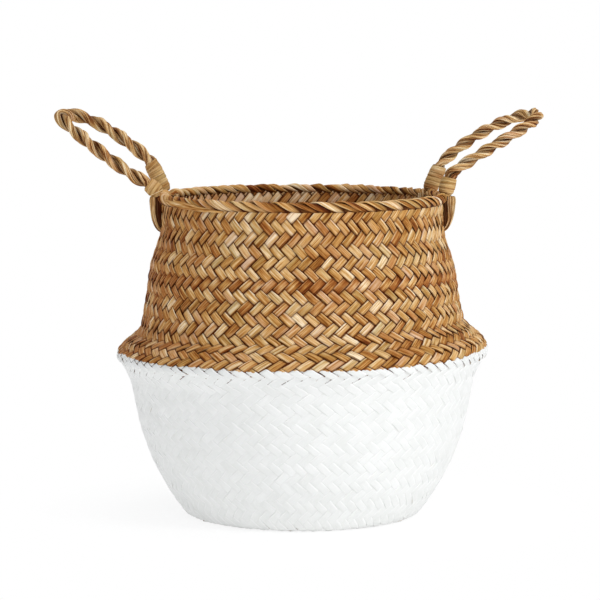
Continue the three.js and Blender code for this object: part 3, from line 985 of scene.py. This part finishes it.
def rope_strand(handle, phase, letter, seed):
    """One strand of a rope: its centre circles the rope's centre line, six or seven turns in
    all, and its oval section is creased by waves that drift round it along its length."""
    random = np.random.default_rng(seed)
    stout = handle.sizes["stout"]
    run, centre = even_line(handle.route(), 400)
    way = unit(np.gradient(centre, axis=0))
    level = leaning(LOOP_LEAN - 90)
    normal = unit(level - way * (way @ level)[:, None])
    cross = np.cross(way, normal)
    angle = phase + 2 * np.pi * handle.sizes["turns"] * run / run[-1]
    outward = normal * np.cos(angle) + cross * np.sin(angle)
    middle = centre + outward * STRAND_OFFSET * stout
    across = unit(np.cross(np.gradient(middle, axis=0), outward))
    side = full_turn(36)
    first, second, third = (
        wander(random, run, (0.004, 0.011, 0.019), reach) for reach in (2.6, 3.4, 1.0)
    )
    fold = np.abs(np.cos(1.5 * side + first))
    crease = 0.26 * fold - 0.16 + 0.05 * np.cos(5 * side + second) + 0.04 * third
    thick = stout * STRAND_THICKNESS / 2 * (1.14 + crease)
    broad = stout * STRAND_WIDTH / 2 * (0.84 + crease)
    points = (middle[:, None] + outward[:, None] * (thick * np.cos(side))[..., None]
              + across[:, None] * (broad * np.sin(side))[..., None])
    # Painted shade on the strand's side towards the rope's middle, at its sides and in the valleys
    # of its creases; the tone is lighter on raised creases and darker in their hollows, also
    # painted shading.
    inner_side_shade = np.clip(-np.cos(side) * 1.5 - 0.25, 0, 0.8)
    sideways = np.clip((np.abs(np.sin(side)) - 0.88) / 0.12, 0, 1)
    valley_shade = np.clip(1 - fold / 0.24, 0, 1)
    facts = {
        "grain": stacked(side * 3.2, run, seed)[None],
        "tone": 0.47 + wander(random, run, (0.02, 0.041, 0.07), 0.2) + 0.8 * crease,
        "hue": np.clip(0.5 + 0.5 * wander(random, run, (0.013, 0.03, 0.05), 1.2), 0, 1),
        "tuck": np.clip(inner_side_shade + 0.45 * sideways + 0.85 * valley_shade, 0, 0.94),
    }
    skin(f"{handle.name}_rope_strand_{letter}", handle.world(points), facts, rope_leaf,
         f"handle_{handle.name}", [f"{handle.name}_strand_{letter}"])


def sleeve_skin(handle, end, kind, points, facts, closed=False):
    """Piece of a sleeve, which swings with the handle."""
    name = f"{handle.name}_{end}"
    skin(f"{name}_{kind}", points, facts, strip_leaf, f"handle_{handle.name}",
         [f"{name}_sleeve"], closed)


def sleeve_wrap(handle, end, seed):
    """Flat strip wound round a leg of the rope: its middle climbs by one pitch a turn, and
    its lower edge stands proud of the turn below. Under the foot's centre it closes in on
    the ball that turns in the border. Its end is tucked in, or lifts as a flap."""
    random = np.random.default_rng(seed)
    leg = handle.sizes[end]
    flap = leg.get("flap", 0)
    turns = (leg["sleeve"] - WRAP_BOTTOM - WRAP_WIDTH * 0.45) / WRAP_PITCH
    run = np.linspace(0, turns, int(turns * 44))[:, None]
    start = math.radians(150) if flap else random.uniform(0, 6)
    angle = (run - turns) * 2 * np.pi + start
    closing = np.clip((run - run[-1] + 0.4) / 0.4, 0, 1)
    wide = WRAP_WIDTH * (1 + wander(random, run, (0.3, 0.8), 0.07))
    climb = WRAP_BOTTOM + WRAP_WIDTH * 0.2 + run * WRAP_PITCH
    height = climb + wander(random, run, (0.25, 0.6), 0.4) + wide * SECTION_ACROSS
    height = np.clip(height, WRAP_BOTTOM - 0.6, leg["sleeve"] + 0.4) + flap * closing ** 2
    least = 4.0
    ball = np.sqrt(np.maximum(SLEEVE_RADIUS ** 2 - np.minimum(height, 0) ** 2, least ** 2))
    face = WRAP_THICKNESS / 2 * SECTION_HEIGHT - WRAP_LAP * SECTION_ACROSS
    radius = ball - 0.42 + face + (0.5 if flap else -0.7) * closing
    radius = radius + wander(random, run, (1.1, 2.3), 0.1)
    facts = {
        "grain": stacked(SECTION_ACROSS * WRAP_WIDTH, angle * SLEEVE_RADIUS, seed)[None],
        "tone": 0.55 + 0.12 * wander(random, run, (0.4, 1.1), 1.0),
        "hue": np.clip(0.5 + 0.4 * wander(random, run, (0.3, 0.9), 1.0), 0, 1),
        # Painted shade along the strip's edges, where one turn meets the next.
        "tuck": 0.35 * (np.abs(SECTION_ACROSS) > 0.45),
    }
    points = handle.from_sleeve(end, around(angle, radius, height))
    sleeve_skin(handle, end, "wrap", points, facts)


def wrap_core(handle, end):
    """Tube under the wound strip, drawn in at both ends, dark with painted shade where it shows
    between the turns.
    """
    top = handle.sizes[end]["sleeve"]
    radius = np.array([4.2, 5.4, 6.0, 6.1, 6.0, 5.2])[:, None]
    level = np.array([-5.4, -4.2, -2.0, 0.5, top - 0.8, top])[:, None]
    points = handle.from_sleeve(end, around(full_turn(24), radius, level))[None]
    facts = {"grain": points * 0.4, "tone": 0.3, "hue": 0.5, "tuck": 0.5}
    sleeve_skin(handle, end, "wrap_core", points, facts)


def tail_line():
    """Middle of the tails at even steps, as radius and height, with the run along it: down
    inside the wall, round a bend that is half an ellipse, and up outside."""
    sweep = np.linspace(np.pi, 2 * np.pi, 40)
    spread = (TAIL_OUTER - TAIL_INNER) / 2
    bend = stacked(
        TAIL_INNER + spread * (1 + np.cos(sweep)), TAIL_BOTTOM + TAIL_BEND * (1 + np.sin(sweep)),
    )
    tops = ([(TAIL_INNER, TAIL_TOP)], [(TAIL_OUTER, TAIL_TOP)])
    return even_line(np.concatenate([tops[0], bend, tops[1]]), 110)


# Stalks of a tail: how far each lies outwards and sideways of the middle, and its half
# depth and half breadth
TAIL_STALKS = ((1.7, -0.9, 2.0, 2.5), (-1.5, -1.4, 2.0, 2.4), (0.5, 1.6, 2.4, 1.9))


def tail_stalk(random, stalk, grain):
    """Places and looks of one stalk of a tail, creased by waves that drift along it. It fans
    out from the middle outside the wall, and thins at its top there."""
    outer, beside, deep, broad = stalk
    run, line = tail_line()
    way = unit(np.gradient(line, axis=0))
    side = full_turn(18)
    fan = np.clip((run - run[-1] * 0.5) / (run[-1] * 0.42), 0, 1)
    fan = 0.35 + 0.65 * fan ** 1.5
    closing = np.clip((run[-1] - run) / 3, 0, 1) ** 0.5 * 0.25 + 0.75
    drift = wander(random, run, (0.01, 0.025), 0.45)[0]
    first = wander(random, run, (0.008, 0.02), 2.5)[0]
    crease = 0.1 * np.cos(3 * side + first) + 0.08 * np.cos(5 * side - first)
    off = (outer * fan + deep * (0.45 + 0.55 * fan) * (1 + crease) * np.cos(side)) * closing
    sideways = beside + drift + broad * (1 + crease) * np.sin(side) * closing
    points = stacked(line[:, :1] + way[:, 1:] * off, sideways, line[:, 1:] - way[:, :1] * off)
    # Painted shade on the side of each stalk that faces the tail's middle and in its creases; the
    # tone is lighter on raised creases, also painted shading.
    middle_facing_shade = np.clip(-np.sign(outer) * np.cos(side) * 1.5 - 0.6, 0, 0.85)
    facts = {
        "grain": stacked(side * 2.4, run, grain),
        "tone": 0.5 + 0.07 * random.normal() + 0.7 * crease,
        "hue": random.uniform(0.2, 0.8),
        "tuck": np.clip(0.6 * middle_facing_shade + np.clip(-crease * 4, 0, 0.6), 0, 0.9),
    }
    return points, facts


def wall_shade_stalk(grain):
    """Places and looks of a stalk outside, an oval from the wall to the others'
    middle, dark with painted shade where shade falls between them and the wall."""
    line = tail_line()[1]
    outer_arm = line[len(line) // 2:]
    level = np.linspace(TAIL_BOTTOM + 2.5, TAIL_TOP + 0.4, len(line))[:, None]
    side = full_turn(18)
    reach = np.interp(level, outer_arm[:, 1], outer_arm[:, 0])
    against = MOUTH_RADIUS + 0.2
    radius = (reach + against) / 2 + ((reach - against) / 2 + 0.3) * np.cos(side)
    facts = {"grain": stacked(side * 2.4, level, grain), "tone": 0.3, "hue": 0.5, "tuck": 0.88}
    return stacked(radius, 2.3 * np.sin(side), level), facts


def tail_strands(handle, end, seed):
    """The strand tails of a foot on one long U through the wall, of three stalks. Outside,
    a stalk dark with painted shade hugs the wall behind them."""
    random = np.random.default_rng(seed)
    stalks = [
        tail_stalk(random, stalk, seed + number * 1.3) for number, stalk in enumerate(TAIL_STALKS)
    ]
    stalks.append(wall_shade_stalk(seed + 5))
    points = turned(np.stack([places for places, _ in stalks]), foot_angle(handle.sizes, end))
    facts = {
        fact: np.stack([at_points(looks[fact], places) for places, looks in stalks])
        for fact in ("grain", "tone", "hue", "tuck")
    }
    skin(f"{handle.name}_{end}_tail_strands", points, facts, rope_leaf, "basket",
         [f"{handle.name}_{end}_tails"])


def foot_thread(handle, end, rise, seed):
    """Thin pale thread round a sleeve's foot, in a plane that rises inwards, drawn out to
    the sleeve's face or, below the foot's centre, to its ball."""
    lean = leaning(handle.sizes[end]["sleeve_lean"])
    turn = full_turn(72)[:, None]
    inwards = np.array([-math.cos(rise), 0, math.sin(rise)])
    upwards = np.array([math.sin(rise), 0, math.cos(rise)])
    along = np.array([0, 1, 0])
    spread, drop = 0.87, 0.49
    spoke = spread * (np.cos(turn) * inwards + np.sin(turn) * along) - drop * upwards
    above = np.maximum(spoke @ lean, 0)[:, None]
    spoke = (spoke / np.sqrt(1 - above ** 2))[:, None]
    up = unit(np.cross(np.roll(spoke, -1, axis=0) - spoke, spoke))
    side = full_turn(8)[None, :, None]
    off = SLEEVE_RADIUS - 0.05 + 0.3 * np.cos(side)
    points = handle.world(spoke * off + up * 0.45 * np.sin(side) + handle.foot(end))[None]
    facts = {"grain": points + seed, "tone": 0.95, "hue": 0.5, "tuck": 0}
    sleeve_skin(handle, end, "thread", points, facts, True)


def add_handle(name, seed):
    """Rope, sleeves and tails of one handle."""
    handle = Handle(name)
    rope_strand(handle, 0, "a", seed)
    rope_strand(handle, np.pi, "b", seed + 1)
    for place, end in enumerate(("front", "back")):
        sleeve_wrap(handle, end, seed + 2 + place)
        wrap_core(handle, end)
        tail_strands(handle, end, seed + 5 + place)
    return handle


left_handle = add_handle("left", 41)
foot_thread(left_handle, "front", math.radians(25), 49)
add_handle("right", 51)


# Stage

def pale_material(name, build):
    """Material of the stage, with its surface from a build function."""
    material = bpy.data.materials.new(name)
    material.use_nodes = True
    graph = Graph(material.node_tree)
    graph.node("OutputMaterial", None, {"Surface": build(graph)})
    return material


def seen(graph):
    """1 for a ray from the eye, or one that a gloss or a clear surface sends on."""
    rays = [
        graph.node("LightPath", output=output)
        for output in ("Is Camera Ray", "Is Glossy Ray", "Is Transmission Ray")
    ]
    return graph.maths("MINIMUM", rays[0] + rays[1] + rays[2], 1.0)


def floor_build(graph):
    """White diffuse floor that adds some light of its own, mostly plain white where it is
    seen, and wholly so away from the basket."""
    plain = graph.node("BsdfDiffuse", None, {"Color": grey(0.9)})
    bounce = graph.node("Emission", None, {"Color": grey(1), "Strength": 0.23})
    lit = graph.node("AddShader", None, {0: plain, 1: bounce})
    glow = graph.node("Emission", None, {"Color": grey(1), "Strength": 1.0})
    place = graph.node("TexCoord", output="Object")
    away = graph.node("VectorMath", {"operation": "LENGTH"}, {0: place}, output="Value")
    share = graph.ramp(away, [(0.1, grey(0.75)), (0.24, grey(1))])
    return graph.node("MixShader", None, {0: seen(graph) * share, 1: lit, 2: glow})


def add_floor():
    """Floor that is white where the eye sees it."""
    bpy.ops.mesh.primitive_plane_add(size=14)
    floor = bpy.context.active_object
    floor.name = "floor"
    floor.data.materials.append(pale_material("floor_white", floor_build))


def add_world():
    """White world that lights the basket at half its strength, a little blue."""
    world = bpy.data.worlds.new("studio")
    bpy.context.scene.world = world
    world.use_nodes = True
    graph = Graph(world.node_tree)
    light = graph.node("Background", None, {"Color": (0.95, 0.97, 1, 1), "Strength": 0.5})
    white = graph.node("Background", None, {"Color": grey(1), "Strength": 1.0})
    mixed = graph.node("MixShader", None, {0: seen(graph), 1: light, 2: white})
    graph.node("OutputWorld", None, {"Surface": mixed})


# Lamps: name, place and size in metres, and power in watts; and the place that they face,
# a little above the fold
LAMPS = (
    ("key", (1.7, -1.3, 1.5), 0.7, 24.5),
    ("fill", (-1.5, -1.6, 0.8), 1.6, 3.3),
    ("low", (0, -2.4, 0.2), 1.6, 10),
    ("top", (0.2, 0.2, 2.1), 1.2, 10),
)
LAMPS_FACE = (0, 0, 0.17)


def add_lamp(name, place, size, power):
    """Square lamp that faces the basket."""
    lamp = bpy.data.objects.new(name, bpy.data.lights.new(name, "AREA"))
    lamp.data.size = size
    lamp.data.energy = power
    lamp.location = place
    aim = unit(np.array(place) - LAMPS_FACE)
    lamp.rotation_euler = (math.acos(aim[2]), 0, math.atan2(aim[1], aim[0]) + math.pi / 2)
    bpy.context.scene.collection.objects.link(lamp)


add_floor()
add_world()
for lamp in LAMPS:
    add_lamp(*lamp)
bpy.context.scene.view_settings.view_transform = "Standard"
